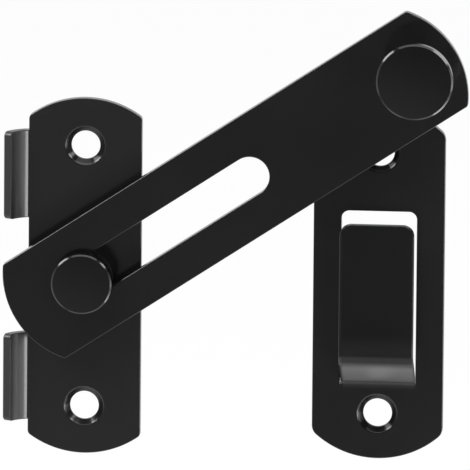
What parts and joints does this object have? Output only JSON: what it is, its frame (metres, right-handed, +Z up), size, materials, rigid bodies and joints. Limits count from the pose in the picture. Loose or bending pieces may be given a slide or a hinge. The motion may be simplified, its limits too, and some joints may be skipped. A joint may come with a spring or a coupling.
{
  "type": "sliding bolt",
  "caption": "Flip-over bar latch: a slotted bar with a round knob swings and slides on a headed pivot on a plate with bent lugs, and drops behind the tongue of a separate keeper.",
  "frame": {"origin": "on the pivot axis at the back of the base plate, which is also the centre of its two screw holes", "axes": "+X to the right from the base plate to the keeper, +Y into the wall, +Z up along both plates"},
  "size_m": [0.0819, 0.0168, 0.0817],
  "materials": {
    "black_sheet": "smooth satin black coat on stamped steel sheet",
    "black_bar": "smooth satin black coat on the flat steel bar",
    "black_turned": "satin black coat on turned steel, brighter on the edges",
    "black_spacer": "black steel spacer"
  },
  "bodies": {
    "base": {"base_plate": "black_sheet", "keeper_plate": "black_sheet"},
    "pivot": {"pivot_post": "black_turned", "spacer_washer": "black_spacer"},
    "bar": {"latch_bar": "black_bar", "knob": "black_turned"}
  },
  "joints": [
    {"name": "bar_swing", "type": "hinge", "parent": "base", "child": "pivot", "pos_m": [0, 0, 0], "axis": [0, -1, 0], "range_deg": [-33.7, 56.3]},
    {"name": "bar_slide", "type": "slide", "parent": "pivot", "child": "bar", "axis": [-0.832, 0, -0.5548], "range_m": [0, 0.0353]}
  ]
}
